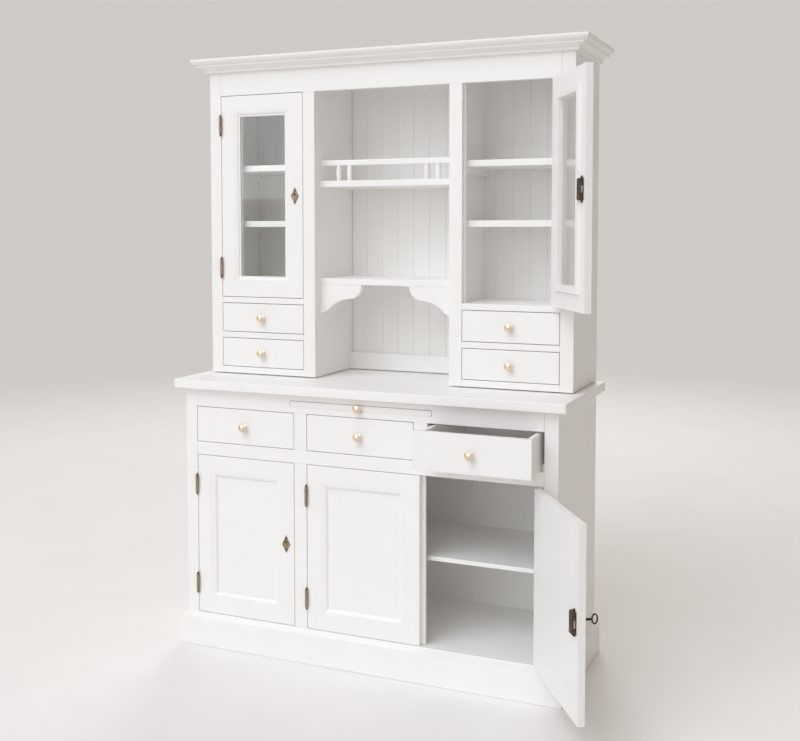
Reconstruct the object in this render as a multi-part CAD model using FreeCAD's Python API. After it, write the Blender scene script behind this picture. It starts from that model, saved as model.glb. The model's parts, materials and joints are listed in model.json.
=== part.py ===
import FreeCAD, Part
import math
import os

os.makedirs("parts", exist_ok=True)
V = FreeCAD.Vector

# A tall kitchen dresser: a base cupboard with drawers, and a glazed hutch standing on its top.
# Millimetres. X runs across, the front looks to -Y, Z is up.
# The origin is on the floor, in the middle of the plinth's front board.

# Overall sizes and the main levels.
overall_h = 2000.0
carcass_w = 1300.0
base_d = 473.0
set_back = 165.0
counter_top = 910.0
counter_t = 30.0
counter_over = 30.0
counter_corner = 6.0
counter_round = 3.0
board = 21.0
gap = 2.0
ease = 1.2
overrun = 5.0
touch = 0.01

# Plinth.
plinth_t = 20.0
plinth_h = 107.0
plinth_bevel_h = 11.0

# Base frame.
stile_w = 43.0
post_w = 45.0
mid_open_w = 377.0
top_rail_h = 62.0
drawer_open_h = 121.0
mid_rail_h = 43.5
floor_rise = 2.5
back_t = 12.0
back_recess = 6.0
groove = 3.0
base_back_w = 466.0
base_shelf_t = 14.0
base_shelf_share = 0.5064
base_shelf_back = 55.0
cleat_t = 15.0
cleat_h = 20.0

# Sliding board under the counter.
slot_w = 498.0
slot_h = 20.0
slot_lift = 20.5
slide_gap = 1.5
slide_short = 55.0
slide_rest_w = 15.0
slide_guide_w = 20.0
slide_rest_h = 18.0

# Drawers.
box_inset = 14.0
box_side_t = 13.0
box_drop = 4.0
box_lift = 0.3
box_short = 39.0
box_floor_t = 8.0
box_floor_lift = 7.0
hutch_box_side_t = 10.0
runner_t = 20.0
runner_lap = 20.0
guide_h = 20.0
guide_play = 1.0
base_pull = 125.0

# Doors.
door_member = 53.0
moulding_w = 21.0
hutch_moulding_w = 18.0
moulding_step = 1.2
moulding_quirk = 2.5
hutch_fillet_w = 4.5
hutch_lip_t = 2.5
sunk = 9.0
panel_lap = 8.0
strip_show = 12.0
strip_lap = 14.0
strip_t = 8.0
glass_t = 3.5
rebate_w = 9.0
bead_rise = 7.0
bead_round = 2.0
bead_clear = 6.0
stop_t = 10.0
stop_show = 5.0
open_base_deg = 123.3
open_hutch_deg = 122.2

# Hinges.
barrel_r = 5.0
barrel_l = 58.0
barrel_clear = 1.0
knuckle_l = 18.5
knuckle_play = 0.3
pin_r = 2.2
pin_fit = 0.06
finial_l = 10.0
finial_neck_r = 2.4
finial_ball_r = 3.8
finial_ball_l = 2.5
leaf_d = 16.0
leaf_play = 0.4
hinge_in = 100.0

# Locks, keyhole plates and the key.
plate_h = 58.0
plate_w = 31.0
plate_t = 1.6
plate_waist_share = 0.47
plate_waist_rise_share = 0.49
hole_r = 3.2
hole_lift = 6.5
hole_drop = 8.0
hole_slot_w = 2.6
lock_w = 29.0
lock_h = 62.0
lock_t = 12.0
lock_plate_t = 2.5
lock_edge = 3.0
lock_lobe_r = 7.0
ward_r = 9.0
ward_t = 6.0
key_in = 29.5
shank_r = 2.5
shank_out = 27.0
bit_t = 1.6
bit_l = 4.5
bit_h = 7.2
bow_w = 19.0
bow_h = 30.0
bow_rim = 4.0
bow_t = 3.6
bow_edge = 0.9

# Knobs.
knob_r = 13.5
rose_r = 9.0
rose_t = 2.5
neck_r = 5.0
neck_l = 11.0
knob_mid_l = 18.0
knob_edge_r = 6.0
knob_under_deg = 45.0
knob_dome_deg = 60.0

# Hutch.
pad_t = 3.5
pad_w = 16.0
pad_l = 40.0
pad_in = 12.0
niche_share = 0.37154
inner_stile_w = 43.5
hutch_foot_h = 22.0
hutch_rail_h = 20.0
hutch_drawer_h = 102.0
frieze_h = 113.5
hutch_top_drop = 10.0
dust_t = 15.0
hutch_shelf_shares = (0.3795, 0.6557)
hutch_shelf_back = 40.0
plank_w = 60.5
back_rail_h = 59.5

# Cornice.
cornice_out = 49.0
cornice_h = 44.0
cornice_lip_h = 5.0
cornice_round_h = 14.0
cornice_mid_out = 33.0
cornice_mid_h = 6.0
cornice_foot_out = 12.0
cornice_foot_h = 6.5
bend_share = 0.3

# Niche fittings.
niche_shelf_back = 40.0
gallery_share = 0.6182
low_shelf_share = 0.3117
shelf_round = 2.0
baluster_h = 52.0
baluster_r = 9.2
baluster_end_r = 7.4
baluster_in = 61.5
baluster_pitch = 40.0
gallery_back = 54.0
gallery_rail_t = 18.0
gallery_round = 4.0
corbel_t = 20.0
corbel_l = 153.0
corbel_h = 95.5
corbel_nose_shares = (1.0, 0.168)
corbel_knee_shares = (0.902, 0.377)
corbel_flat_shares = (0.752, 0.492)
corbel_bay_shares = (0.431, 0.607)
corbel_heel_shares = (0.209, 0.859)
corbel_toe_shares = (0.108, 0.969)

# Derived levels and planes.
face = plinth_t / 2
back = face + base_d
back_y = back - back_recess - back_t
half = carcass_w / 2
side_in = half - board
open_x = half - stile_w
behind = face + board
mid_x = mid_open_w / 2
post_x = mid_x + post_w
counter_z = counter_top - counter_t
drawer_z1 = counter_z - top_rail_h
drawer_z0 = drawer_z1 - drawer_open_h
door_z1 = drawer_z0 - mid_rail_h
floor_top = plinth_h + floor_rise
door_z0 = floor_top
slot_z = drawer_z1 + slot_lift
axis_y = face - barrel_r - barrel_clear
meet_x = (open_x - mid_x) / 2

hface = face + set_back
hbehind = hface + board
haxis_y = hface - barrel_r - barrel_clear
niche_x = niche_share * carcass_w / 2
inner_x = niche_x + inner_stile_w
h0 = counter_top + pad_t
h1 = h0 + hutch_foot_h
h2 = h1 + hutch_drawer_h
h3 = h2 + hutch_rail_h
h4 = h3 + hutch_drawer_h
h5 = h4 + hutch_rail_h
h_top = overall_h - hutch_top_drop
h6 = h_top - frieze_h
gallery_top = h0 + gallery_share * (h_top - h0)
low_shelf_top = h0 + low_shelf_share * (h_top - h0)
bead_w = door_member + hutch_moulding_w - key_in - lock_w / 2 - bead_clear


def box(x0, x1, y0, y1, z0, z1):
    return Part.makeBox(x1 - x0, y1 - y0, z1 - z0, V(x0, y0, z0))


def mirrored(shape):
    return shape.mirror(V(0, 0, 0), V(1, 0, 0))


def both(shape):
    return [shape, mirrored(shape)]


def export(name, *solids):
    shape = solids[0] if len(solids) == 1 else Part.makeCompound(list(solids))
    shape.exportStep("parts/" + name + ".step")


def arc(a, b, c):
    return Part.Arc(a, b, c).toShape()


def line(a, b):
    return Part.makeLine(a, b)


def ends_at(edge, axis, value):
    # Axes are counted 0, 1, 2 for X, Y, Z.
    return all(abs(v.Point[axis] - value) < touch for v in edge.Vertexes)


def runs_along(edge, axis):
    return abs(edge.Vertexes[0].Point[axis] - edge.Vertexes[-1].Point[axis]) > touch


def eased_rim(shape, y, size):
    # Takes off the corner all round the face that stands at y.
    edges = [e for e in shape.Edges if ends_at(e, 1, y)]
    return shape.makeChamfer(size, edges)


def plank(x0, x1, y0, y1, z0, z1):
    # A board lying flat, its front edge rounded over above and below.
    body = box(x0, x1, y0, y1, z0, z1)
    edges = [e for e in body.Edges if ends_at(e, 1, y0) and runs_along(e, 0)]
    return body.makeFillet(shelf_round, edges)


def front_board(x0, x1, y0, y1, z0, z1):
    return eased_rim(box(x0, x1, y0, y1, z0, z1), y0, ease)


def turned(edges, low, high):
    # A solid of revolution about Z. The outline leaves the axis at one level and comes back at the other.
    axis = line(V(0, 0, high), V(0, 0, low))
    return Part.Face(Part.Wire(edges + [axis])).revolve(V(0, 0, 0), V(0, 0, 1), 360)


def mitred_run(edges, y0, out):
    # Front, left and right lengths of one moulding, mitred where they meet.
    # The outline is drawn in X (how far out) and Z.
    section = Part.Face(Part.Wire(edges))
    ahead = section.copy()
    ahead.rotate(V(0, 0, 0), V(0, 0, 1), -90)
    reach = half + out + overrun
    ahead.translate(V(-reach, y0, 0))
    front = ahead.extrude(V(2 * reach, 0, 0))
    near = half - overrun
    corners = [V(-near, y0 + overrun, 0), V(near, y0 + overrun, 0)]
    corners += [V(reach, y0 - out - overrun, 0), V(-reach, y0 - out - overrun, 0)]
    front = front.common(upright(corners))
    beside = section.copy()
    beside.translate(V(half, y0 - out - overrun, 0))
    right = beside.extrude(V(0, back - y0 + out + overrun, 0))
    corners = [V(near, y0 + overrun, 0), V(reach, y0 - out - overrun, 0)]
    corners += [V(reach, back, 0), V(near, back, 0)]
    right = right.common(upright(corners))
    return [front, mirrored(right), right]


def upright(corners):
    wire = Part.makePolygon(corners + corners[:1])
    return Part.Face(wire).extrude(V(0, 0, overall_h))


def grooved(edges_x, y0, y1, z0, z1):
    # Upright boards side by side, each front edge bevelled so that every joint shows a V.
    boards = []
    for xa, xb in zip(edges_x[:-1], edges_x[1:]):
        pts = [V(xa, y1, z0), V(xa, y0 + groove, z0), V(xa + groove, y0, z0)]
        pts += [V(xb - groove, y0, z0), V(xb, y0 + groove, z0), V(xb, y1, z0)]
        boards.append(Part.Face(Part.makePolygon(pts + pts[:1])).extrude(V(0, 0, z1 - z0)))
    return boards


def base_carcass():
    side = box(side_in, half, behind, back, 0, counter_z)
    export("base_sides", *both(side))
    joint = base_back_w / 2
    floor_z = floor_top - board
    joints = [-side_in, -joint, joint, side_in]
    export("base_back", *grooved(joints, back_y, back_y + back_t, floor_z, counter_z))
    export("base_floor", box(-side_in, side_in, behind, back_y, floor_z, floor_top))
    stile = box(open_x, half, face, behind, 0, counter_z)
    post = box(mid_x, post_x, face, behind, drawer_z0, drawer_z1)
    door_post = box(-post_x, -mid_x, face, behind, door_z0, door_z1)
    export("base_uprights", *both(stile), *both(post), door_post)
    rail = box(-open_x, open_x, face, behind, drawer_z1, counter_z)
    slot = box(-slot_w / 2, slot_w / 2, face - overrun, behind + overrun, slot_z, slot_z + slot_h)
    export("base_top_rail", rail.cut(slot))
    mid = box(-open_x, open_x, face, behind, door_z1, drawer_z0)
    low = box(-open_x, open_x, face, behind, floor_top - mid_rail_h, floor_top)
    export("base_rails", mid, low)
    middle = (mid_x + post_x) / 2
    wall0 = -middle - board / 2
    wall1 = -middle + board / 2
    export("base_partition", box(wall0, wall1, behind, back_y, floor_top, drawer_z0 - runner_t))
    shelf_y = face + base_shelf_back
    shelf_top = door_z0 + base_shelf_share * (door_z1 - door_z0)
    shelf_z = shelf_top - base_shelf_t
    left = plank(-side_in, wall0, shelf_y, back_y, shelf_z, shelf_top)
    right = plank(wall1, side_in, shelf_y, back_y, shelf_z, shelf_top)
    cleats = []
    for x0 in (-side_in, wall0 - cleat_t, wall1, side_in - cleat_t):
        cleats.append(box(x0, x0 + cleat_t, shelf_y + cleat_t, back_y, shelf_z - cleat_h, shelf_z))
    export("base_shelves", left, right, *cleats)


def drawer_runners():
    # Bars that carry the drawers, and the guides on them that keep each box straight.
    low = drawer_z0 - runner_t
    clear = box_inset - guide_play
    lap = box_inset + runner_lap
    outer = box(open_x - lap, side_in, behind, back_y, low, drawer_z0)
    outer_guide = box(open_x - clear, side_in, behind, back_y, drawer_z0, drawer_z0 + guide_h)
    inner = box(mid_x - lap, post_x + lap, behind, back_y, low, drawer_z0)
    inner_guide = box(mid_x - clear, post_x + clear, behind, back_y, drawer_z0, drawer_z0 + guide_h)
    bars = both(outer) + both(outer_guide) + both(inner) + both(inner_guide)
    edge = slot_w / 2
    rest = box(edge - slide_rest_w, edge + slide_guide_w, behind, back_y, slot_z - slide_rest_h, slot_z)
    fence = box(edge, edge + slide_guide_w, behind, back_y, slot_z, slot_z + slot_h)
    export("drawer_runners", *bars, *both(rest), *both(fence))


def plinth():
    points = [V(0, 0, 0), V(plinth_t, 0, 0), V(plinth_t, 0, plinth_h - plinth_bevel_h)]
    points.append(V(0, 0, plinth_h))
    edges = [line(a, b) for a, b in zip(points, points[1:] + points[:1])]
    export("plinth", *mitred_run(edges, face, plinth_t))


def countertop():
    x = half + counter_over
    slab = box(-x, x, face - counter_over, back, counter_z, counter_top)
    corners = [e for e in slab.Edges if ends_at(e, 1, face - counter_over) and runs_along(e, 2)]
    slab = slab.makeFillet(counter_corner, corners)
    level = [e for e in slab.Edges if ends_at(e, 2, counter_top) or ends_at(e, 2, counter_z)]
    level = [e for e in level if not ends_at(e, 1, back)]
    export("countertop", slab.makeFillet(counter_round, level))


def knob(x, y, z):
    # Turned: a rose, a neck, and a head whose round edge runs into a flatter dome.
    centre = V(knob_r - knob_edge_r, 0, knob_mid_l)

    def on_edge(degrees):
        turn = math.radians(degrees)
        return centre + V(math.cos(turn), 0, math.sin(turn)) * knob_edge_r

    under = on_edge(-knob_under_deg)
    join = on_edge(knob_dome_deg)
    steep = math.radians(knob_dome_deg)
    dome_r = join.x / math.cos(steep)
    dome_z = join.z - dome_r * math.sin(steep)
    crown = (steep + math.pi / 2) / 2
    tip = V(0, 0, dome_z + dome_r)
    points = [V(0, 0, 0), V(rose_r, 0, 0), V(rose_r, 0, rose_t)]
    points += [V(neck_r, 0, 2 * rose_t), V(neck_r, 0, neck_l), under]
    outline = [line(p, q) for p, q in zip(points[:-1], points[1:])]
    outline.append(arc(under, on_edge(0), join))
    outline.append(arc(join, V(dome_r * math.cos(crown), 0, dome_z + dome_r * math.sin(crown)), tip))
    body = turned(outline, 0, tip.z)
    body.rotate(V(0, 0, 0), V(1, 0, 0), 90)
    body.translate(V(x, y, z))
    return body


def drawer(name, x0, x1, z0, z1, y, side_t, pull):
    # Front board, two sides, back and bottom, with the knob in the middle of the front.
    front = front_board(x0 + gap, x1 - gap, y, y + board, z0 + gap, z1 - gap)
    y0 = y + board
    y1 = back_y - box_short
    a = x0 + box_inset
    b = x1 - box_inset
    low = z0 + box_lift
    high = z1 - gap - box_drop
    sides = [box(a, a + side_t, y0, y1, low, high), box(b - side_t, b, y0, y1, low, high)]
    floor_z = low + box_floor_lift
    tail = box(a + side_t, b - side_t, y1 - side_t, y1, floor_z, high - box_drop)
    floor = box(a + side_t, b - side_t, y0, y1 - side_t, floor_z, floor_z + box_floor_t)
    solids = [front, tail, floor] + sides
    handle = knob((x0 + x1) / 2, y, (z0 + z1) / 2)
    for s in solids + [handle]:
        s.translate(V(0, -pull, 0))
    export(name, *solids)
    export(name + "_knob", handle)


def drawers():
    spans = {"left": (-open_x, -post_x), "middle": (-mid_x, mid_x), "right": (post_x, open_x)}
    for side, (x0, x1) in spans.items():
        pull = base_pull if side == "right" else 0
        drawer("base_drawer_" + side, x0, x1, drawer_z0, drawer_z1, face, box_side_t, pull)
    for side, x0, x1 in (("left", -open_x, -inner_x), ("right", inner_x, open_x)):
        for level, z0, z1 in (("lower", h1, h2), ("upper", h3, h4)):
            name = "hutch_drawer_" + side + "_" + level
            drawer(name, x0, x1, z0, z1, hface, hutch_box_side_t, 0)


def slide_board():
    x = slot_w / 2 - slide_gap
    z1 = slot_z + slot_h - slide_gap
    z0 = slot_z + box_lift
    export("slide_board", front_board(-x, x, face, back_y - slide_short, z0, z1))
    export("slide_board_knob", knob(0, face, (z0 + z1) / 2))


def ovolo(width, flat, deep, floor):
    # Section of the space above a sunk moulding: X is out from the sight edge, Y is in from the face.
    # The curve ends at deep, a flat's width from the sight edge, and the flat lies at floor.
    a = width - flat
    bend = V(width - a * 0.5 ** 0.5, deep - (deep - moulding_step) * 0.5 ** 0.5, 0)
    pts = [V(-overrun, floor, 0), V(-overrun, -overrun, 0)]
    pts += [V(width, -overrun, 0), V(width, moulding_step, 0)]
    edges = [line(p, q) for p, q in zip(pts[:-1], pts[1:])]
    edges.append(arc(pts[-1], bend, V(flat, deep, 0)))
    if floor > deep:
        edges.append(line(V(flat, deep, 0), V(flat, floor, 0)))
    edges.append(line(V(flat, floor, 0), pts[0]))
    return Part.Face(Part.Wire(edges))


def sunk_ring(x0, x1, z0, z1, y, width, outline):
    # The four mitred lengths of that space round an opening.
    pieces = []
    for turn in range(4):
        a, b = (x1 - x0) / 2, (z1 - z0) / 2
        if turn % 2:
            a, b = b, a
        end = a + width + overrun
        section = outline.copy()
        section.rotate(V(0, 0, 0), V(0, 1, 0), 90)
        section.translate(V(-end, 0, -b))
        length = section.extrude(V(2 * end, 0, 0))
        far = width + overrun
        pts = [V(-a + overrun, -far, -b + overrun), V(a - overrun, -far, -b + overrun)]
        pts += [V(a + far, -far, -b - far), V(-a - far, -far, -b - far)]
        wedge = Part.Face(Part.makePolygon(pts + pts[:1])).extrude(V(0, 2 * far, 0))
        piece = length.common(wedge)
        piece.rotate(V(0, 0, 0), V(0, 1, 0), 90 * turn)
        piece.translate(V((x0 + x1) / 2, y, (z0 + z1) / 2))
        pieces.append(piece)
    return pieces


def keyhole(x, z, y0, y1):
    # A round hole with a slot below it, cut from front to back.
    eye_z = z + hole_lift
    eye = Part.makeCylinder(hole_r, y1 - y0, V(x, y0, eye_z), V(0, 1, 0))
    slot = box(x - hole_slot_w / 2, x + hole_slot_w / 2, y0, y1, eye_z - hole_drop, eye_z)
    return eye.fuse(slot)


def key_plate(x, z, y):
    # A lozenge with hollow sides and the keyhole in it.
    w = plate_w / 2
    h = plate_h / 2
    tips = [V(0, 0, h), V(w, 0, 0), V(0, 0, -h), V(-w, 0, 0)]
    edges = []
    for p, q in zip(tips, tips[1:] + tips[:1]):
        sx = 1 if p.x + q.x > 0 else -1
        sz = 1 if p.z + q.z > 0 else -1
        waist = V(sx * w * plate_waist_share, 0, sz * h * plate_waist_rise_share)
        edges.append(arc(p, waist, q))
    body = Part.Face(Part.Wire(edges)).extrude(V(0, -plate_t, 0))
    body.translate(V(x, y, z))
    return body.cut(keyhole(x, z, y - plate_t - overrun, y + overrun))


def lock(x, z, y):
    # A rim lock on the inside of a door: a lobed plate under a bevelled case, hollow for the key's bit.
    x0 = x - lock_w / 2
    x1 = x + lock_w / 2
    half_h = lock_h / 2
    plate = box(x0, x1, y, y + lock_plate_t, z - half_h, z + half_h)
    for dz in (-half_h, half_h):
        plate = plate.fuse(Part.makeCylinder(lock_lobe_r, lock_plate_t, V(x, y, z + dz), V(0, 1, 0)))
    case = box(x0, x1, y, y + lock_t, z - half_h, z + half_h)
    rim = [e for e in case.Edges if ends_at(e, 1, y + lock_t)]
    body = plate.fuse(case.makeChamfer(lock_edge, rim)).removeSplitter()
    room = Part.makeCylinder(ward_r, ward_t, V(x, y + lock_plate_t, z + hole_lift), V(0, 1, 0))
    return body.cut(room).cut(keyhole(x, z, y - overrun, y + lock_plate_t + ward_t / 2))


def hinge_fixed(x, y, z, yface):
    # The half on the stile: leaf, two end knuckles, pin and pointed finials. The stile is on the +X side.
    low = z - barrel_l / 2
    high = z + barrel_l / 2
    a = x + leaf_play / 2
    b = x + gap / 2
    body = box(a, b, yface, yface + leaf_d, low, high)
    for z0 in (low, high - knuckle_l):
        body = body.fuse(box(a, b, y, yface, z0, z0 + knuckle_l))
        body = body.fuse(Part.makeCylinder(barrel_r, knuckle_l, V(x, y, z0)))
    body = body.fuse(Part.makeCylinder(pin_r, barrel_l, V(x, y, low)))
    top = finial()
    top.translate(V(x, y, high))
    foot = finial()
    foot.rotate(V(0, 0, 0), V(1, 0, 0), 180)
    foot.translate(V(x, y, low))
    return body.fuse(top).fuse(foot).removeSplitter()


def finial():
    outline = [line(V(0, 0, 0), V(finial_neck_r, 0, 0))]
    outline.append(line(V(finial_neck_r, 0, 0), V(finial_ball_r, 0, finial_ball_l)))
    outline.append(line(V(finial_ball_r, 0, finial_ball_l), V(0, 0, finial_l)))
    return turned(outline, 0, finial_l)


def hinge_leaf(x, y, z, yface):
    # The half on the door, its middle knuckle bored for the pin. The door is on the -X side.
    low = z - barrel_l / 2
    a = x - gap / 2
    b = x - leaf_play / 2
    z0 = low + knuckle_l + knuckle_play
    mid_l = barrel_l - 2 * knuckle_l - 2 * knuckle_play
    body = box(a, b, yface, yface + leaf_d, low, low + barrel_l)
    body = body.fuse(box(a, b, y, yface, z0, z0 + mid_l))
    body = body.fuse(Part.makeCylinder(barrel_r, mid_l, V(x, y, z0)))
    return body.cut(Part.makeCylinder(pin_r + pin_fit, barrel_l, V(x, y, low)))


def hinge_levels(z0, z1):
    return (z0 + gap + hinge_in, z1 - gap - hinge_in)


def door_leaves(x, y, z0, z1, yface):
    return [hinge_leaf(x, y, z, yface) for z in hinge_levels(z0, z1)]


def hinge_frame_leaves():
    leaves = []
    right = open_x - gap / 2
    for z in hinge_levels(door_z0, door_z1):
        leaves += both(hinge_fixed(right, axis_y, z, face))
        middle = hinge_fixed(mid_x - gap / 2, axis_y, z, face)
        leaves.append(mirrored(middle))
    for z in hinge_levels(h5, h6):
        leaves += both(hinge_fixed(right, haxis_y, z, hface))
    export("hinge_frame_leaves", *leaves)


def cut_each(solids, tool):
    return [s.cut(tool) for s in solids]


def panel_frame(x0, x1, z0, z1, y, width, outline):
    # Door frame with a sunk moulding round its opening: rails between stiles, mitred along the moulding.
    # Returns the left stile, the right stile, the bottom rail and the top rail, then the sight rectangle.
    frame = front_board(x0, x1, y, y + board, z0, z1)
    m = door_member + width
    sight = (x0 + m, x1 - m, z0 + m, z1 - m)
    frame = frame.cut(sunk_ring(*sight, y, width, outline))
    front = y - overrun
    frame = frame.cut(box(sight[0], sight[1], front, y + board + overrun, sight[2], sight[3]))
    a = x0 + door_member
    b = x1 - door_member
    rails = []
    for out, flat, inner in ((z0, z0 + door_member, sight[2]), (z1, z1 - door_member, sight[3])):
        pts = [V(a, front, out), V(b, front, out), V(b, front, flat)]
        pts += [V(sight[1], front, inner), V(sight[0], front, inner), V(a, front, flat)]
        cutter = Part.Face(Part.makePolygon(pts + pts[:1])).extrude(V(0, board + 2 * overrun, 0))
        rails.append(frame.common(cutter))
        frame = frame.cut(cutter)
    stiles = sorted(frame.Solids, key=lambda s: s.CenterOfMass.x)
    return stiles + rails, sight


def panelled_door(x0, x1, z0, z1):
    # The panel lies in a rebate and comes flush behind, where its eased rim shows as a hair line.
    outline = ovolo(moulding_w, moulding_quirk, sunk - moulding_step, sunk)
    frame, sight = panel_frame(x0, x1, z0, z1, face, moulding_w, outline)
    a, b, c, d = sight
    reach = panel_lap - moulding_quirk
    rear = face + board
    panel = box(a - reach, b + reach, face + sunk, rear, c - reach, d + reach)
    return cut_each(frame, panel), eased_rim(panel, rear, ease)


def base_door_left():
    x0 = -open_x + gap
    x1 = -post_x - gap
    z0 = door_z0 + gap
    z1 = door_z1 - gap
    frame, panel = panelled_door(x0, x1, z0, z1)
    x = x1 - key_in
    z = (z0 + z1) / 2
    frame = cut_each(frame, keyhole(x, z, face - overrun, face + board + overrun))
    leaves = [mirrored(s) for s in door_leaves(open_x - gap / 2, axis_y, door_z0, door_z1, face)]
    export("base_door_left_frame", *frame)
    export("base_door_left_panel", panel)
    fittings = [key_plate(x, z, face), lock(x, z, face + board)]
    export("base_door_left_fittings", *leaves, *fittings)


def base_door_middle():
    # A strip behind the closing edge laps the gap, and the right door shuts against it.
    x0 = -mid_x + gap
    x1 = meet_x - gap / 2
    z0 = door_z0 + gap
    z1 = door_z1 - gap
    frame, panel = panelled_door(x0, x1, z0, z1)
    rear = face + board
    strip = box(x1 - strip_lap, x1 + strip_show, rear, rear + strip_t, z0, z1)
    leaves = [mirrored(s) for s in door_leaves(mid_x - gap / 2, axis_y, door_z0, door_z1, face)]
    export("base_door_middle_frame", *frame, strip)
    export("base_door_middle_panel", panel)
    export("base_door_middle_fittings", *leaves)


def base_door_right():
    x0 = meet_x + gap / 2
    x1 = open_x - gap
    z0 = door_z0 + gap
    z1 = door_z1 - gap
    frame, panel = panelled_door(x0, x1, z0, z1)
    x = x0 + key_in
    z = (z0 + z1) / 2
    frame = cut_each(frame, keyhole(x, z, face - overrun, face + board + overrun))
    axis_x = open_x - gap / 2
    leaves = door_leaves(axis_x, axis_y, door_z0, door_z1, face)
    fittings = [key_plate(x, z, face), lock(x, z, face + board)]
    groups = {"frame": frame, "panel": [panel], "fittings": leaves + fittings, "key": [key(x, z)]}
    for name, solids in groups.items():
        for s in solids:
            s.rotate(V(axis_x, axis_y, 0), V(0, 0, 1), open_base_deg)
        export("base_door_right_" + name, *solids)


def key(x, z):
    # Oval bow, round shank and a flat bit that stands inside the lock.
    eye_z = z + hole_lift
    shank_y = face - shank_out
    tip_y = face + board + lock_plate_t + ward_t - leaf_play
    shank = Part.makeCylinder(shank_r, tip_y - shank_y, V(x, shank_y, eye_z), V(0, 1, 0))
    bit_y = face + board + lock_plate_t + leaf_play
    bit = box(x - bit_t / 2, x + bit_t / 2, bit_y, bit_y + bit_l, eye_z - bit_h, eye_z)
    centre = V(x - bow_t / 2, shank_y + bow_rim / 2 - bow_w / 2, eye_z)
    rims = []
    for inset in (0, bow_rim):
        rim = Part.Ellipse(V(0, 0, 0), bow_h / 2 - inset, bow_w / 2 - inset).toShape()
        rim.rotate(V(0, 0, 0), V(0, 1, 0), -90)
        rims.append(Part.Wire([rim]))
    bow = Part.Face(rims[0]).cut(Part.Face(rims[1])).extrude(V(bow_t, 0, 0))
    bow = bow.makeChamfer(bow_edge, [e for e in bow.Edges if e.Vertexes[0].X == e.Vertexes[-1].X])
    bow.translate(centre)
    return shank.fuse(bit).fuse(bow).removeSplitter()


def bead(tongue, cover, axis):
    # A glazing bead: a tongue in the rebate behind the glass, under a rounded strip on the door's rear face.
    rear = tongue[3]
    strip = box(*cover[:2], rear, rear + bead_rise, *cover[2:])
    edges = [e for e in strip.Edges if ends_at(e, 1, rear + bead_rise) and runs_along(e, axis)]
    return strip.makeFillet(bead_round, edges).fuse(box(*tongue)).removeSplitter()


def hutch_doors():
    # One glazed door is drawn shut on the left; its mirror image is the right one, swung open.
    x0 = -open_x + gap
    x1 = -inner_x - gap
    z0 = h5 + gap
    z1 = h6 - gap
    lip = sunk - hutch_lip_t
    outline = ovolo(hutch_moulding_w, hutch_fillet_w, lip, lip)
    frame, sight = panel_frame(x0, x1, z0, z1, hface, hutch_moulding_w, outline)
    a, b, c, d = sight
    rear = hface + board
    rebate = (a - rebate_w, b + rebate_w, c - rebate_w, d + rebate_w)
    frame = cut_each(frame, box(*rebate[:2], hface + sunk, rear + overrun, *rebate[2:]))
    x = x1 - key_in
    z = (z0 + z1) / 2
    frame = cut_each(frame, keyhole(x, z, hface - overrun, hface + board + overrun))
    y0 = hface + sunk + glass_t
    glass = box(*rebate[:2], hface + sunk, y0, *rebate[2:])
    beads = []
    for edge, way in ((a, -1), (b, 1)):
        tongue = sorted((edge, edge + way * rebate_w)) + [y0, rear] + list(rebate[2:])
        cover = sorted((edge, edge + way * bead_w)) + [c - bead_w, d + bead_w]
        beads.append(bead(tongue, cover, 2))
    for edge, way in ((c, -1), (d, 1)):
        tongue = [a, b, y0, rear] + sorted((edge, edge + way * rebate_w))
        cover = [a, b] + sorted((edge, edge + way * bead_w))
        beads.append(bead(tongue, cover, 0))
    leaves = [mirrored(s) for s in door_leaves(open_x - gap / 2, haxis_y, h5, h6, hface)]
    fittings = leaves + [key_plate(x, z, hface), lock(x, z, hface + board)]
    groups = {"frame": frame + beads, "glass": [glass], "fittings": fittings}
    for name, solids in groups.items():
        export("hutch_door_left_" + name, *solids)
        swung = [mirrored(s) for s in solids]
        for s in swung:
            s.rotate(V(open_x - gap / 2, haxis_y, 0), V(0, 0, 1), open_hutch_deg)
        export("hutch_door_right_" + name, *swung)


def hutch_carcass():
    pads = []
    for x in (half - pad_in - pad_w, niche_x + pad_in / 2):
        for y in (hbehind + pad_in, back_y - pad_in - pad_l):
            pads += both(box(x, x + pad_w, y, y + pad_l, counter_top, h0))
    export("hutch_pads", *pads)
    export("hutch_sides", *both(box(side_in, half, hbehind, back, h0, h_top)))
    wall = box(niche_x, niche_x + board, hbehind, back_y, h0, h_top - board)
    stop = box(inner_x - stop_t, inner_x + stop_show, hbehind, hbehind + stop_t, h5, h6)
    export("hutch_partitions", *both(wall), *both(stop))
    stile = box(open_x, half, hface, hbehind, h0, h_top)
    inner = box(niche_x, inner_x, hface, hbehind, h0, h6)
    export("hutch_stiles", *both(stile), *both(inner))
    export("hutch_frieze", box(-open_x, open_x, hface, hbehind, h6, h_top))
    rails = []
    for z0, z1 in ((h0, h1), (h2, h3), (h4, h5)):
        rails += both(box(inner_x, open_x, hface, hbehind, z0, z1))
    export("hutch_rails", *rails)
    export("hutch_top", box(-side_in, side_in, hbehind, back_y, h_top - board, h_top))
    count = int((side_in - 2 * groove) // plank_w)
    joints = [-side_in] + [i * plank_w for i in range(-count, count + 1)] + [side_in]
    export("hutch_back", *grooved(joints, back_y, back_y + back_t, h0, h_top))
    export("hutch_back_rail", plank(-niche_x, niche_x, back_y - board, back_y, h0, h0 + back_rail_h))


def hutch_runners():
    # Boards under the hutch drawers and over them, and the guides that keep each box straight.
    wall = niche_x + board
    clear = box_inset - guide_play
    solids = []
    for z in (h1, h3, h5):
        solids += both(box(wall, side_in, hbehind, back_y, z - dust_t, z))
    for z in (h1, h3):
        solids += both(box(wall, inner_x + clear, hbehind, back_y, z, z + guide_h))
        solids += both(box(open_x - clear, side_in, hbehind, back_y, z, z + guide_h))
    export("hutch_runners", *solids)


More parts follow.
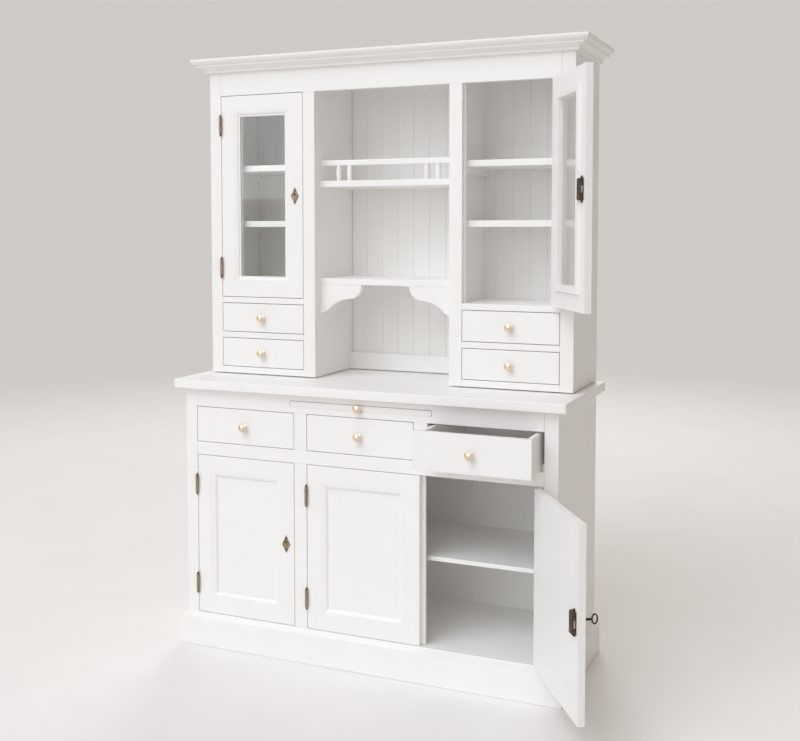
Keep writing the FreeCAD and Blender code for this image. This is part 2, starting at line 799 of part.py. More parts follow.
def hutch_shelves():
    wall = niche_x + board
    y0 = hface + hutch_shelf_back
    solids = []
    for share in hutch_shelf_shares:
        top = h5 + share * (h6 - h5)
        low = top - board
        solids += both(plank(wall, side_in, y0, back_y, low, top))
        for x0 in (wall, side_in - cleat_t):
            solids += both(box(x0, x0 + cleat_t, y0 + cleat_t, back_y, low - cleat_h, low))
    export("hutch_shelves", *solids)


def curved(a, b, corner):
    # A curve from a to b, pulled part of the way towards a corner on its hollow or its round side.
    middle = (a + b) * 0.5
    return arc(a, middle + (corner - middle) * bend_share, b)


def cornice():
    # A narrow lip over a round, a flat, a hollow and a foot.
    top = overall_h
    low = top - cornice_h
    z1 = top - cornice_lip_h
    z2 = z1 - cornice_round_h
    z3 = z2 - cornice_mid_h
    z4 = low + cornice_foot_h
    pts = [V(0, 0, low), V(0, 0, top), V(cornice_out, 0, top), V(cornice_out, 0, z1)]
    edges = [line(p, q) for p, q in zip(pts[:-1], pts[1:])]
    edges.append(curved(V(cornice_out, 0, z1), V(cornice_mid_out, 0, z2), V(cornice_out, 0, z2)))
    edges.append(line(V(cornice_mid_out, 0, z2), V(cornice_mid_out, 0, z3)))
    edges.append(curved(V(cornice_mid_out, 0, z3), V(cornice_foot_out, 0, z4), V(cornice_foot_out, 0, z3)))
    edges.append(line(V(cornice_foot_out, 0, z4), V(cornice_foot_out, 0, low)))
    edges.append(line(V(cornice_foot_out, 0, low), pts[0]))
    export("cornice", *mitred_run(edges, hface, cornice_out))


def niche_fittings():
    y0 = hface + niche_shelf_back
    shelves = [plank(-niche_x, niche_x, y0, back_y, z - board, z) for z in (gallery_top, low_shelf_top)]
    export("niche_shelves", *shelves)
    rail_z = gallery_top + baluster_h
    rail_y = hface + gallery_back
    rail = box(-niche_x, niche_x, rail_y, rail_y + gallery_rail_t, rail_z, rail_z + gallery_rail_t)
    over = [e for e in rail.Edges if ends_at(e, 2, rail_z + gallery_rail_t) and runs_along(e, 0)]
    solids = [rail.makeFillet(gallery_round, over)]
    foot = V(baluster_end_r, 0, 0)
    head = V(baluster_end_r, 0, baluster_h)
    outline = [line(V(0, 0, 0), foot), arc(foot, V(baluster_r, 0, baluster_h / 2), head)]
    outline.append(line(head, V(0, 0, baluster_h)))
    for place in range(2):
        post = turned(outline, 0, baluster_h)
        x = niche_x - baluster_in - place * baluster_pitch
        post.translate(V(x, rail_y + gallery_rail_t / 2, gallery_top))
        solids += both(post)
    export("gallery", *solids)
    export("corbels", *both(corbel(y0)))


def corbel(y0):
    # Scroll bracket under the lower shelf. Its shares run from the wall outwards and from the shelf down.
    z = low_shelf_top - board

    def at(shares):
        return V(niche_x - shares[0] * corbel_l, y0, z - shares[1] * corbel_h)

    nose = at(corbel_nose_shares)
    flat = at(corbel_flat_shares)
    heel = at(corbel_heel_shares)
    root = at((0, 0))
    foot = at((0, 1))
    edges = [line(root, at((1, 0))), line(at((1, 0)), nose), arc(nose, at(corbel_knee_shares), flat)]
    edges += [arc(flat, at(corbel_bay_shares), heel), arc(heel, at(corbel_toe_shares), foot)]
    edges.append(line(foot, root))
    return Part.Face(Part.Wire(edges)).extrude(V(0, corbel_t, 0))


base_carcass()
drawer_runners()
plinth()
countertop()
drawers()
slide_board()
hinge_frame_leaves()
base_door_left()
base_door_middle()
base_door_right()
hutch_carcass()
hutch_runners()
hutch_shelves()
hutch_doors()
cornice()
niche_fittings()
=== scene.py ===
import bmesh
import bpy
import json
import math
from mathutils import Matrix, Vector


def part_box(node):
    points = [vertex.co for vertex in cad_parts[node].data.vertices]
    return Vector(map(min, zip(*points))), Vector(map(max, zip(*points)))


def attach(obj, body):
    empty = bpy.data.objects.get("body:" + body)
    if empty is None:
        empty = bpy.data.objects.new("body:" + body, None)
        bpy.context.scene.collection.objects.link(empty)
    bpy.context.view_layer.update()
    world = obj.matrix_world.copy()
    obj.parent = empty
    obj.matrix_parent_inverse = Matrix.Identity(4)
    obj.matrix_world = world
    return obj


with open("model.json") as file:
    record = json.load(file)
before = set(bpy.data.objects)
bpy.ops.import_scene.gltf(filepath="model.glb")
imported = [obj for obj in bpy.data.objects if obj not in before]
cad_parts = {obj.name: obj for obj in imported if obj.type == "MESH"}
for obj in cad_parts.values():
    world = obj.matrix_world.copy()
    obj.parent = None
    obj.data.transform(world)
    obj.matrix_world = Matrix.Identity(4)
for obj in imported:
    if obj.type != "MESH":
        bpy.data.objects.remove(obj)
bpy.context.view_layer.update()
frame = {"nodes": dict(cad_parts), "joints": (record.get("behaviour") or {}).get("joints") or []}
nodes = frame["nodes"]


# The base cupboard's boards: two sides, the back, the floor, a partition, shelves and the drawer runners.
# Solid softwood and board, glued and screwed, brushed all over with a satin off-white paint.
# Fine brush marks and a trace of the grain run along each board.

paint_white = (0.905, 0.899, 0.889, 1)
paint_warm = (0.890, 0.882, 0.869, 1)
paint_turns = (0.10, 0.36)
paint_gloss = (0.36, 0.48)
paint_relief = 0.05
brush_scale = 150.0
brush_depth = 0.0005
grain_scale = 26.0
grain_depth = 0.001
cloud_scale = 5.0
drawn_out = 0.03
along_x = (drawn_out, 1.0, 1.0)
along_y = (1.0, drawn_out, 1.0)
along_z = (1.0, 1.0, drawn_out)


def shade(name):
    made = bpy.data.materials.new(name)
    made.use_nodes = True
    return made, made.node_tree, made.node_tree.nodes["Principled BSDF"]


def feed(tree, socket, value):
    if isinstance(value, bpy.types.NodeSocket):
        tree.links.new(value, socket)
    else:
        socket.default_value = value


def wire(tree, node, **sockets):
    for key, value in sockets.items():
        feed(tree, node.inputs[key.replace("_", " ")], value)
    return node


def put(tree, kind, **sockets):
    return wire(tree, tree.nodes.new(kind), **sockets)


def calc(tree, operation, first, second=0.0):
    node = tree.nodes.new("ShaderNodeMath")
    node.operation = operation
    feed(tree, node.inputs[0], first)
    feed(tree, node.inputs[1], second)
    return node.outputs[0]


def where(tree):
    return put(tree, "ShaderNodeTexCoord").outputs["Object"]


def noise(tree, place, **sockets):
    return put(tree, "ShaderNodeTexNoise", Vector=place, **sockets).outputs["Fac"]


def bumps(tree, strength, depth, height, **below):
    node = put(tree, "ShaderNodeBump", Strength=strength, Distance=depth, Height=height, **below)
    return node.outputs["Normal"]


def ramp(tree, source, low, high, turns):
    # The low colour up to the first turn, shading into the high colour at the second.
    node = put(tree, "ShaderNodeValToRGB", Fac=source)
    for stop, colour, position in zip(node.color_ramp.elements, (low, high), turns):
        stop.color = colour
        stop.position = position
    return node.outputs["Color"]


def spread(tree, source, low, high):
    return put(tree, "ShaderNodeMapRange", Value=source, To_Min=low, To_Max=high).outputs["Result"]


def brushed_paint(name, stretch, relief=paint_relief):
    made, tree, satin = shade(name)
    place = where(tree)
    along = put(tree, "ShaderNodeMapping", Vector=place, Scale=stretch).outputs["Vector"]
    strokes = noise(tree, along, Scale=brush_scale, Detail=4.0, Roughness=0.6)
    grain = noise(tree, along, Scale=grain_scale, Detail=6.0, Distortion=0.6)
    clouds = noise(tree, place, Scale=cloud_scale, Detail=3.0)
    tone = calc(tree, "MULTIPLY", clouds, strokes)
    wood = bumps(tree, relief, grain_depth, grain)
    wire(tree, satin,
         Base_Color=ramp(tree, tone, paint_warm, paint_white, paint_turns),
         Roughness=spread(tree, strokes, *paint_gloss),
         Normal=bumps(tree, relief, brush_depth, strokes, Normal=wood))
    return made


paint_upright = brushed_paint("paint_brushed_upright", along_z)
paint_across = brushed_paint("paint_brushed_across", along_x)
paint_inward = brushed_paint("paint_brushed_inward", along_y)


def finish_node(name, material):
    mesh = nodes[name].data
    mesh.materials.clear()
    mesh.materials.append(material)


for name in ("base_sides", "base_back", "base_partition"):
    finish_node(name, paint_upright)
for name in ("base_floor", "base_shelves"):
    finish_node(name, paint_across)
finish_node("drawer_runners", paint_inward)


# The base's face frame: stiles, drawer posts, one door post and the rails between them.
# Planed boards jointed flush. Where their eased edges meet, the joints show as hair lines,
# and at the ends of the long rails a thin grey line is painted in as the shadow in the joint's gap.

frame_ease = 0.0012
ease_steps = 2
ease_angle = 40
weld_gap = 0.00002
# The joint grey and its width are painted shade: the shadow in the gap where a rail meets a stile.
joint_shadow_width = 0.0005
joint_shadow_grey = (0.50, 0.48, 0.45, 1)


def eased(name):
    weld = nodes[name].modifiers.new("join_facets", "WELD")
    weld.merge_threshold = weld_gap
    bevel = nodes[name].modifiers.new("eased_edges", "BEVEL")
    bevel.width = frame_ease
    bevel.segments = ease_steps
    bevel.limit_method = "ANGLE"
    bevel.angle_limit = math.radians(ease_angle)


def blended(tree, share, low, high):
    node = tree.nodes.new("ShaderNodeMix")
    node.data_type = "RGBA"
    sockets = {socket.identifier: socket for socket in (*node.inputs, *node.outputs)}
    feed(tree, sockets["Factor_Float"], share)
    feed(tree, sockets["A_Color"], low)
    feed(tree, sockets["B_Color"], high)
    return sockets["Result_Color"]


def recoat(made, mask, colour):
    # Lays another colour over a paint where the mask is 1.
    tree = made.node_tree
    coat = tree.nodes["Principled BSDF"].inputs["Base Color"]
    feed(tree, coat, blended(tree, mask, coat.links[0].from_socket, colour))
    return made


def paint_with_joint_shadow(rail):
    # The paint of a rail, with a thin grey line of painted shade where its two ends meet the stiles.
    made = brushed_paint("paint_" + rail, along_x)
    tree = made.node_tree
    across = put(tree, "ShaderNodeSeparateXYZ", Vector=where(tree)).outputs["X"]
    end = max(corner[0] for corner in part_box(rail))
    joint_shadow = calc(tree, "GREATER_THAN", calc(tree, "ABSOLUTE", across), end - joint_shadow_width)
    return recoat(made, joint_shadow, joint_shadow_grey)


finish_node("base_uprights", paint_upright)
eased("base_uprights")
for name in ("base_rails", "base_top_rail"):
    finish_node(name, paint_with_joint_shadow(name))
    eased(name)


# The plinth: three painted softwood boards with bevelled tops, mitred at the corners.
# They are nailed round the foot of the base and carry its weight to the floor.

finish_node("plinth", paint_across)


# The counter: one thick board glued up from planks, its edges and front corners rounded over.
# It overhangs the front and both ends, is screwed down from below, and is painted like the rest.

finish_node("countertop", paint_across)


# The drawers and the pull-out board: painted fronts and boxes that slide on wooden runners.
# Each has one turned knob of pale polished brass, screwed on from behind.

brass_bright = (0.93, 0.80, 0.62, 1)
brass_deep = (0.80, 0.63, 0.42, 1)
brass_turns = (0.30, 0.62)
brass_gloss = (0.14, 0.34)
wear_scale = 90.0
lathe_scale = 1400.0
lathe_relief = 0.08
lathe_depth = 0.0003


def polished_brass(name, centre):
    # Worn in soft patches, with the fine rings that a lathe leaves round the knob's axis.
    made, tree, metal = shade(name)
    local = put(tree, "ShaderNodeMapping", Vector=where(tree), Location=-centre).outputs["Vector"]
    axis = put(tree, "ShaderNodeMapping", Vector=local, Scale=(0, 1, 0)).outputs["Vector"]
    wear = noise(tree, local, Scale=wear_scale, Detail=5.0)
    lathe = noise(tree, axis, Scale=lathe_scale, Detail=2.0)
    wire(tree, metal,
         Metallic=1.0,
         Base_Color=ramp(tree, wear, brass_deep, brass_bright, brass_turns),
         Roughness=spread(tree, wear, *brass_gloss),
         Normal=bumps(tree, lathe_relief, lathe_depth, lathe))
    return made


drawers = ["base_drawer_" + side for side in ("left", "middle", "right")]
drawers += ["hutch_drawer_" + side + row for side in ("left", "right") for row in ("_lower", "_upper")]
for name in (*drawers, "slide_board"):
    finish_node(name, paint_across)
    low, high = (Vector(corner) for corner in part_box(name + "_knob"))
    finish_node(name + "_knob", polished_brass("brass_" + name + "_knob", (low + high) / 2))


# The base doors: stiles and rails with a sunk moulding, mitred in the corners, round a flat panel.
# The panel lies in a rebate and comes flush behind; all of it is painted.
# Only the bores that the key passes through, halfway up the doors with locks, are bare wood, coloured darker
# so as to be painted shade for the hollow of the bore as well.

bare_wood_and_shade = (0.42, 0.23, 0.11, 1)
bore_half_w = 0.005
bore_half_h = 0.012
keyhole_reach = {"base_door_left": 0.341, "base_door_right": 0.36625}
keyhole_reach |= {"hutch_door_left": 0.2895, "hutch_door_right": 0.2895}

# Each door's hinge line, its middle height, the way from hinge to latch, its angle at rest and its keyhole.
doors = {}
for joint in frame["joints"]:
    if joint["name"].endswith("_hinge"):
        x, y, middle = joint["pos_m"]
        latch_way = -joint["axis"][2]
        door = {"hinge": (x, y, 0.0), "middle": middle, "latch_way": latch_way, "keyhole": None}
        door["open"] = math.radians(latch_way * joint["range_deg"][0])
        if joint["child"] in keyhole_reach:
            door["keyhole"] = x + latch_way * keyhole_reach[joint["child"]]
        doors[joint["child"]] = door


def apart(tree, first, second):
    return calc(tree, "ABSOLUTE", calc(tree, "SUBTRACT", first, second))


def shut_axes(tree, place, door):
    # Where a point of the door lies when the door is shut, measured from its hinge.
    back = Matrix.Rotation(-door["open"], 3, "Z")
    shift = -(back @ Vector(door["hinge"]))
    turn = (0.0, 0.0, -door["open"])
    local = put(tree, "ShaderNodeMapping", Vector=place, Rotation=turn, Location=shift).outputs["Vector"]
    return put(tree, "ShaderNodeSeparateXYZ", Vector=local).outputs


def door_paint(name):
    # The paint of a door's frame, with dark bare wood in the bore that the plate and the lock cover; the
    # darkness is partly painted shade for the hollow.
    door = doors[name]
    if door["keyhole"] is None:
        return paint_upright
    made = brushed_paint("paint_" + name, along_z)
    tree = made.node_tree
    axes = shut_axes(tree, where(tree), door)
    beside = apart(tree, axes["X"], door["keyhole"] - door["hinge"][0])
    level = apart(tree, axes["Z"], door["middle"])
    bore_w = calc(tree, "LESS_THAN", beside, bore_half_w)
    bore_h = calc(tree, "LESS_THAN", level, bore_half_h)
    # The bore's colour is bare wood and painted shade together: it darkens the hollow that light hardly
    # reaches.
    return recoat(made, calc(tree, "MULTIPLY", bore_w, bore_h), bare_wood_and_shade)


for name in ("base_door_left", "base_door_middle", "base_door_right"):
    finish_node(name + "_frame", door_paint(name))
    finish_node(name + "_panel", paint_upright)


# The hutch's boards: sides, partitions, top and shelves, the tongue and groove back, and the frame in front.
# Painted softwood; it stands on low pads on the counter.

for name in ("hutch_sides", "hutch_partitions", "hutch_back", "hutch_stiles"):
    finish_node(name, paint_upright)
for name in ("hutch_rails", "hutch_top", "hutch_back_rail", "hutch_shelves", "hutch_pads"):
    finish_node(name, paint_across)
finish_node("hutch_runners", paint_inward)
# The frieze's two ends get the same painted joint shadow.
finish_node("hutch_frieze", paint_with_joint_shadow("hutch_frieze"))
for name in ("hutch_stiles", "hutch_frieze", "hutch_rails"):
    eased(name)


# The glazed doors: the same joinery, with a clear pane in a rebate.
# Four painted beads, rounded over, hold the pane in from behind.

glass_tint = (0.985, 0.995, 0.99, 1)


def mix_shaders(tree, share, first, second, end):
    node = put(tree, "ShaderNodeMixShader", Fac=share)
    feed(tree, node.inputs[1], first)
    feed(tree, node.inputs[2], second)
    feed(tree, tree.nodes[end].inputs["Surface"], node.outputs["Shader"])


glass, tree, pane = shade("clear_glass")
wire(tree, pane, Base_Color=glass_tint, Roughness=0.02, IOR=1.45, Transmission_Weight=1.0)
rays = put(tree, "ShaderNodeLightPath").outputs
unbent = calc(tree, "MAXIMUM", rays["Is Shadow Ray"], rays["Is Diffuse Ray"])
through = put(tree, "ShaderNodeBsdfTransparent", Color=glass_tint)
mix_shaders(tree, unbent, pane.outputs["BSDF"], through.outputs["BSDF"], "Material Output")

for name in ("hutch_door_left", "hutch_door_right"):
    finish_node(name + "_frame", door_paint(name))
    finish_node(name + "_glass", glass)


# The hinges: barrels of three knuckles on a pin, with pointed ends, and leaves that fill the door's gap.
# Cast brass gone dull and brown; the pointed ends are darkest.

aged_light = (0.44, 0.34, 0.23, 1)
aged_dark = (0.165, 0.12, 0.083, 1)
aged_turns = (0.34, 0.58)
bronze_light = (0.15, 0.105, 0.078, 1)
bronze_dark = (0.036, 0.024, 0.018, 1)
bronze_turns = (0.32, 0.70)
aged_gloss = (0.52, 0.30)
aged_metal = 0.9
patina_scale = 160.0
pit_relief = 0.2
pit_depth = 0.0003
hinge_rise = {"base": 0.17, "hutch": 0.2465}
barrel_half = 0.029
finial_fade = 0.002


def spotted(tree, place):
    return noise(tree, place, Scale=patina_scale, Detail=6.0, Roughness=0.65)


def old_metal(tree, metal, place, dark):
    # Dull brass, turning to bronze where dark is 1.
    patina = spotted(tree, place)
    brass = ramp(tree, patina, aged_dark, aged_light, aged_turns)
    bronze = ramp(tree, patina, bronze_dark, bronze_light, bronze_turns)
    wire(tree, metal,
         Metallic=aged_metal,
         Base_Color=blended(tree, dark, brass, bronze),
         Roughness=spread(tree, patina, *aged_gloss),
         Normal=bumps(tree, pit_relief, pit_depth, patina))


levels = set()
for name, door in doors.items():
    rise = hinge_rise[name.split("_")[0]]
    levels |= {door["middle"] - rise, door["middle"] + rise}
made, tree, metal = shade("hinge_brass")
place = where(tree)
height = put(tree, "ShaderNodeSeparateXYZ", Vector=place).outputs["Z"]
nearest, *others = [apart(tree, height, level) for level in sorted(levels)]
for other in others:
    nearest = calc(tree, "MINIMUM", nearest, other)
finials = put(tree, "ShaderNodeMapRange", Value=nearest,
              From_Min=barrel_half, From_Max=barrel_half + finial_fade)
old_metal(tree, metal, place, finials.outputs["Result"])
finish_node("hinge_frame_leaves", made)


# The keyhole plates and locks on the doors: lozenges of dull brass outside, rim locks of dark bronze inside.
# A raised rim, a collar round the keyhole and two pins trim each plate; two screws and a bolt end each lock.

door_depth = 0.021
face_in = 0.006
back_margin = 0.0002
leaf_reach = 0.02
tip_start = 0.0150
tip_end = 0.0185


def door_brass(name, door):
    # Inside is bronze, and so are the plate's two tips.
    made, tree, metal = shade("brass_" + name)
    place = where(tree)
    axes = shut_axes(tree, place, door)
    dark = calc(tree, "GREATER_THAN", axes["Y"], face_in + door_depth - back_margin)
    if door["keyhole"] is not None:
        rise = apart(tree, axes["Z"], door["middle"])
        tips = put(tree, "ShaderNodeMapRange", Value=rise, From_Min=tip_start, From_Max=tip_end)
        off_hinge = calc(tree, "GREATER_THAN", calc(tree, "ABSOLUTE", axes["X"]), leaf_reach)
        dark = calc(tree, "MAXIMUM", dark, calc(tree, "MULTIPLY", tips.outputs["Result"], off_hinge))
    old_metal(tree, metal, place, dark)
    return made


steel_light = (0.56, 0.53, 0.50, 1)
steel_dark = (0.30, 0.28, 0.26, 1)
trim_turns = (0.34, 0.62)
trim_gloss = (0.50, 0.26)


def trim_metal(name, low, high):
    made, tree, metal = shade(name)
    patina = spotted(tree, where(tree))
    wire(tree, metal,
         Metallic=aged_metal,
         Base_Color=ramp(tree, patina, low, high, trim_turns),
         Roughness=spread(tree, patina, *trim_gloss))
    return made


rim_brass = trim_metal("rim_brass", aged_dark, aged_light)
dark_bronze = trim_metal("dark_bronze", bronze_dark, bronze_light)
worn_steel = trim_metal("worn_steel", steel_dark, steel_light)


def new_object(name, data):
    made = bpy.data.objects.new(name, data)
    bpy.context.scene.collection.objects.link(made)
    return made


def mesh_object(name, mesh, materials):
    made = bpy.data.meshes.new(name)
    mesh.to_mesh(made)
    mesh.free()
    for material in materials:
        made.materials.append(material)
    return new_object(name, made)


def add_piece(name, mesh, materials, body):
    piece = mesh_object(name, mesh, materials)
    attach(piece, body)


outward = (0, -1, 0)
inward = (0, 1, 0)
whole_turn = 360.0
turn_steps = 24
turn_weld = 0.000002


def turned(mesh, outline, centre, way, degrees=whole_turn, start=0.0):
    # Spins an outline of (radius, height) pairs about an axis through centre, height running along way.
    others = set(mesh.verts)
    verts = [mesh.verts.new((radius, 0.0, height)) for radius, height in outline]
    edges = [mesh.edges.new(pair) for pair in zip(verts[:-1], verts[1:])]
    begin = Matrix.Rotation(math.radians(start), 3, "Z")
    bmesh.ops.rotate(mesh, verts=verts, cent=(0, 0, 0), matrix=begin)
    bmesh.ops.spin(mesh, geom=verts + edges, cent=(0, 0, 0), axis=(0, 0, 1), steps=turn_steps,
                   angle=math.radians(degrees), use_merge=degrees == whole_turn)
    fresh = [vert for vert in mesh.verts if vert not in others]
    bmesh.ops.remove_doubles(mesh, verts=fresh, dist=turn_weld)
    fresh = [vert for vert in mesh.verts if vert not in others]
    aim = Vector((0, 0, 1)).rotation_difference(Vector(way)).to_matrix().to_4x4()
    bmesh.ops.transform(mesh, verts=fresh, matrix=Matrix.Translation(centre) @ aim)
    faces = list({face for vert in fresh for face in vert.link_faces})
    for face in faces:
        face.smooth = True
    return faces


plate_step = 0.0016
rim_half_w = 0.0137
rim_half_h = 0.0262
rim_w = 0.0012
rim_rise = 0.0008
rim_ease_share = 0.45
square_cosine = 0.5
edge_steps = 2


def ease_edges(mesh, edges, width):
    bmesh.ops.bevel(mesh, geom=edges, offset=width, offset_type="OFFSET", segments=edge_steps, profile=0.5,
                    affect="EDGES", material=-1)


def lozenge_rim(mesh, centre):
    # A raised line that follows the plate's edge.
    others = set(mesh.verts)
    ring = bmesh.ops.create_circle(mesh, cap_ends=True, segments=4, radius=1.0)["verts"]
    bmesh.ops.scale(mesh, verts=ring, vec=(rim_half_w, rim_half_h, 1.0))
    upright = Matrix.Rotation(math.radians(90), 3, "X")
    bmesh.ops.rotate(mesh, verts=ring, cent=(0, 0, 0), matrix=upright)
    mesh.normal_update()
    inner = list(ring[0].link_faces)
    inset = bmesh.ops.inset_region(mesh, faces=inner, thickness=rim_w, use_boundary=True,
                                   use_even_offset=True)
    bmesh.ops.delete(mesh, geom=inner, context="FACES")
    raised = bmesh.ops.extrude_face_region(mesh, geom=inset["faces"])["geom"]
    moved = [part for part in raised if isinstance(part, bmesh.types.BMVert)]
    bmesh.ops.translate(mesh, verts=moved, vec=(0, -rim_rise, 0))
    mesh.normal_update()
    top = [part for part in raised if isinstance(part, bmesh.types.BMEdge) and len(part.link_faces) == 2]
    slopes = {edge: edge.link_faces[0].normal.dot(edge.link_faces[1].normal) for edge in top}
    sharp = [edge for edge, cosine in slopes.items() if abs(cosine) < square_cosine]
    ease_edges(mesh, sharp, rim_rise * rim_ease_share)
    fresh = [vert for vert in mesh.verts if vert not in others]
    bmesh.ops.translate(mesh, verts=fresh, vec=centre)


dome_shares = ((0.0, 1.0), (0.5, 0.88), (0.85, 0.5), (1.0, 0.0), (0.0, 0.0))


def dome(radius, rise):
    return [(radius * out, rise * up) for out, up in dome_shares]


def swing(mesh, door):
    # Carries what was made on the shut door to where the door stands.
    hinge = Matrix.Translation(door["hinge"])
    spun = Matrix.Rotation(door["open"], 4, "Z")
    bmesh.ops.transform(mesh, verts=mesh.verts[:], matrix=hinge @ spun @ hinge.inverted())
    bmesh.ops.recalc_face_normals(mesh, faces=mesh.faces[:])


eye_rise = 0.0065
collar_in = 0.0034
collar_out = 0.0051
collar_lip = 0.0003
collar_lip_rise = 0.0008
collar_crown = 0.0005
collar_crown_rise = 0.0009
collar_sweep = 280.0
collar_start = (180.0 - collar_sweep) / 2
pin_reach = 0.0215
pin_radius = 0.0017
pin_rise = 0.0011


def plate_trim(door):
    trim = bmesh.new()
    x, y, z = door["keyhole"], door["hinge"][1] + face_in - plate_step, door["middle"]
    lozenge_rim(trim, (x, y, z))
    ring = [(collar_in, 0.0), (collar_in + collar_lip, collar_lip_rise)]
    ring += [(collar_out - collar_crown, collar_crown_rise), (collar_out, 0.0)]
    turned(trim, ring + ring[:1], (x, y, z + eye_rise), outward, collar_sweep, collar_start)
    bmesh.ops.holes_fill(trim, edges=[edge for edge in trim.edges if edge.is_boundary], sides=8)
    for rise in (-pin_reach, pin_reach):
        for face in turned(trim, dome(pin_radius, pin_rise), (x, y, z + rise), outward):
            face.material_index = 1
    swing(trim, door)
    return trim


lock_half = 0.0145
screw_reach = 0.0337
screw_radius = 0.0026
screw_rise = 0.0013
ear_depth = 0.0025
bolt_size = (0.0030, 0.0038, 0.0200)
bolt_ease = 0.0006
bolt_in = 0.0058


def lock_trim(door):
    trim = bmesh.new()
    x, y, z = door["keyhole"], door["hinge"][1] + face_in + door_depth, door["middle"]
    for rise in (-screw_reach, screw_reach):
        turned(trim, dome(screw_radius, screw_rise), (x, y + ear_depth, z + rise), inward)
    others = set(trim.verts)
    bolt = bmesh.ops.create_cube(trim, size=1.0)["verts"]
    bmesh.ops.scale(trim, verts=bolt, vec=bolt_size)
    ease_edges(trim, list({edge for vert in bolt for edge in vert.link_edges}), bolt_ease)
    fresh = [vert for vert in trim.verts if vert not in others]
    bmesh.ops.translate(trim, verts=fresh, vec=(x + door["latch_way"] * lock_half, y + bolt_in, z))
    for face in {face for vert in fresh for face in vert.link_faces}:
        face.material_index = 1
    swing(trim, door)
    return trim


for name, door in doors.items():
    finish_node(name + "_fittings", door_brass(name, door))
    if door["keyhole"] is not None:
        add_piece(name + "_plate_trim", plate_trim(door), (rim_brass, dark_bronze), name)
        add_piece(name + "_lock_trim", lock_trim(door), (dark_bronze, worn_steel), name)


# The key in the right base door: a ring bow, a round shank and a bit, cast in iron gone nearly black.
# The shank swells to a tapered sleeve outside the plate, and a thin collar stands before the bow.

iron_light = (0.060, 0.045, 0.036, 1)
iron_dark = (0.016, 0.012, 0.010, 1)
iron_turns = (0.36, 0.66)
iron_gloss = (0.48, 0.28)
iron_metal = 0.85
iron_relief = 0.25
shank_bore = 0.0022
sleeve = {"start": 0.0035, "end": 0.0182, "root": 0.0043, "tip": 0.0034}
collar = {"start": 0.0190, "end": 0.0218, "root": 0.0040, "tip": 0.0040}
soft_share = 0.1


def shank_ring(start, end, root, tip):
    # From start to end off the door's face, as thick as root and then tip, with softened edges.
    soft = (end - start) * soft_share
    ring = [(shank_bore, start), (root - soft, start), (root, start + soft)]
    ring += [(tip, end - soft), (tip - soft, end), (shank_bore, end)]
    return ring + ring[:1]


iron, tree, metal = shade("key_iron")
patina = spotted(tree, where(tree))
wire(tree, metal,
     Metallic=iron_metal,
     Base_Color=ramp(tree, patina, iron_dark, iron_light, iron_turns),
     Roughness=spread(tree, patina, *iron_gloss),
     Normal=bumps(tree, iron_relief, pit_depth, patina))
finish_node("base_door_right_key", iron)

door = doors["base_door_right"]
eye = (door["keyhole"], door["hinge"][1] + face_in, door["middle"] + eye_rise)
rings = bmesh.new()
for sizes in (sleeve, collar):
    turned(rings, shank_ring(**sizes), eye, outward)
swing(rings, door)
add_piece("base_door_key_collars", rings, (iron,), "base_door_key")


# The cornice: three lengths of one stepped moulding, mitred at the corners.
# Softwood rubbed smooth before it was painted, pinned round the top of the hutch.

smooth_relief = 0.012
finish_node("cornice", brushed_paint("paint_brushed_moulding", along_x, smooth_relief))


# The niche's own fittings: two shelves, a gallery rail on four turned posts, and a pair of scroll brackets.
# Painted softwood, glued in.

for name in ("niche_shelves", "gallery", "corbels"):
    finish_node(name, paint_across)


# The room: a pale floor that fades into a pale surround, lit by large soft lamps.
# One stands high in front to the left, a wider one lower down in front, and a weak one behind.
# White boards pass the light on to each other many times, so it is followed through many bounces.

floor_low = (0.86, 0.852, 0.84, 1)
floor_high = (0.88, 0.872, 0.86, 1)
floor_turns = (0.35, 0.65)
floor_scale = 2.5
floor_reach = 9.0
floor_sides = 96
floor_drop = 0.0012
fade_start = 3.2
fade_end = 8.5
surround = (0.62, 0.60, 0.57, 1)
sky_tint = (1.0, 0.88, 0.78, 1)
sky_strength = 0.40
lamp_aim = Vector((0, 0.1, 1.0))
light_bounces = 16
matt_bounces = 12

pale, tree, matt = shade("pale_floor")
place = where(tree)
clouds = noise(tree, place, Scale=floor_scale, Detail=3.0)
wire(tree, matt, Base_Color=ramp(tree, clouds, floor_low, floor_high, floor_turns), Roughness=0.7)
away = put(tree, "ShaderNodeVectorMath")
away.operation = "LENGTH"
feed(tree, away.inputs[0], place)
fade = put(tree, "ShaderNodeMapRange", Value=away.outputs["Value"], From_Min=fade_start, From_Max=fade_end)
fade.interpolation_type = "SMOOTHERSTEP"
clear = put(tree, "ShaderNodeBsdfTransparent")
mix_shaders(tree, fade.outputs["Result"], matt.outputs["BSDF"], clear.outputs["BSDF"], "Material Output")

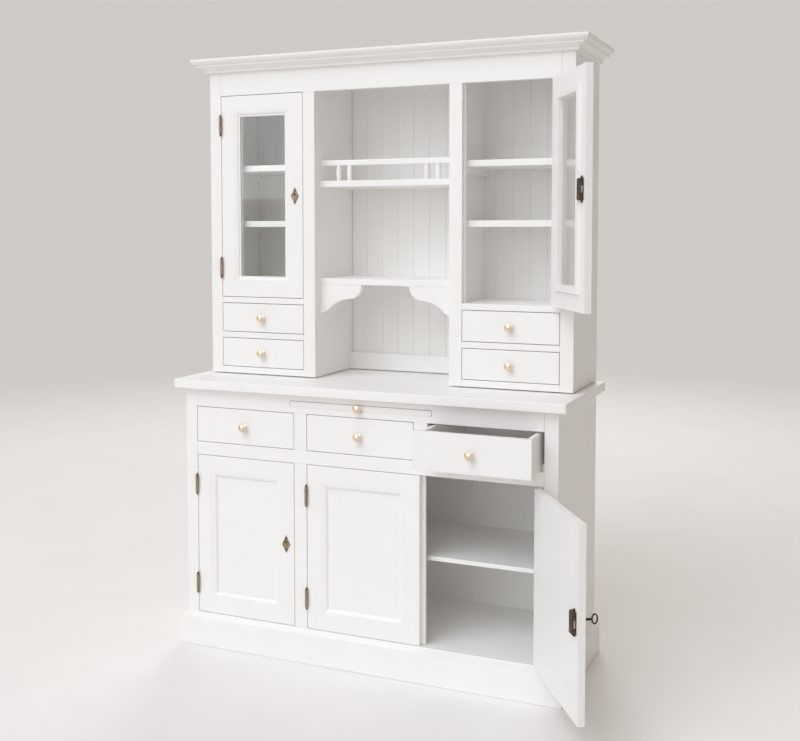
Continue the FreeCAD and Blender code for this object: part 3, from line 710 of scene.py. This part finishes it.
sheet = bmesh.new()
rim = bmesh.ops.create_circle(sheet, cap_ends=True, segments=floor_sides, radius=floor_reach)["verts"]
bmesh.ops.translate(sheet, verts=rim, vec=(0, 0, -floor_drop))
floor = mesh_object("floor", sheet, (pale,))

world = bpy.data.worlds.new("studio")
bpy.context.scene.world = world
world.use_nodes = True
tree = world.node_tree
sky = wire(tree, tree.nodes["Background"], Color=sky_tint, Strength=sky_strength)
seen = put(tree, "ShaderNodeBackground", Color=surround, Strength=1.0)
rays = put(tree, "ShaderNodeLightPath").outputs
shown = calc(tree, "MAXIMUM", rays["Is Camera Ray"], rays["Is Glossy Ray"])
shown = calc(tree, "MAXIMUM", shown, rays["Is Transmission Ray"])
mix_shaders(tree, shown, sky.outputs["Background"], seen.outputs["Background"], "World Output")


def softbox(name, place, width, power, tint):
    lamp = bpy.data.lights.new(name, "AREA")
    lamp.shape = "SQUARE"
    lamp.size = width
    lamp.energy = power
    lamp.color = tint
    holder = new_object(name, lamp)
    holder.location = place
    holder.rotation_euler = (lamp_aim - Vector(place)).to_track_quat("-Z", "Y").to_euler()


softbox("high_light", place=(-2.75, -7.45, 12.47), width=11.0, power=812.0, tint=(0.878, 0.899, 1.0))
softbox("wide_light", place=(-3.14, -11.61, 8.0), width=14.0, power=850.0, tint=(0.890, 0.967, 1.0))
softbox("back_light", place=(-2.5, 9.5, 6.5), width=5.0, power=330.0, tint=(1.0, 1.0, 1.0))
bpy.context.scene.cycles.max_bounces = light_bounces
bpy.context.scene.cycles.diffuse_bounces = matt_bounces


# The camera stands in front of the right half, at eye height and about three metres off.
# Its place, turn and lens were worked out from where the dresser's edges lie in the photograph.

camera_place = (1.4803, -3.0951, 1.4215)
tilt_down = 3.30
turn_left = 23.31
sensor_w = 36.0
lens_length = 49.18
lens_shift = -0.10

camera = new_object("camera", bpy.data.cameras.new("camera"))
camera.data.sensor_width = sensor_w
camera.data.lens = lens_length
camera.data.shift_y = lens_shift
camera.location = camera_place
camera.rotation_euler = (math.radians(90 - tilt_down), 0, math.radians(turn_left))
bpy.context.scene.camera = camera
bpy.context.scene.view_settings.view_transform = "Standard"
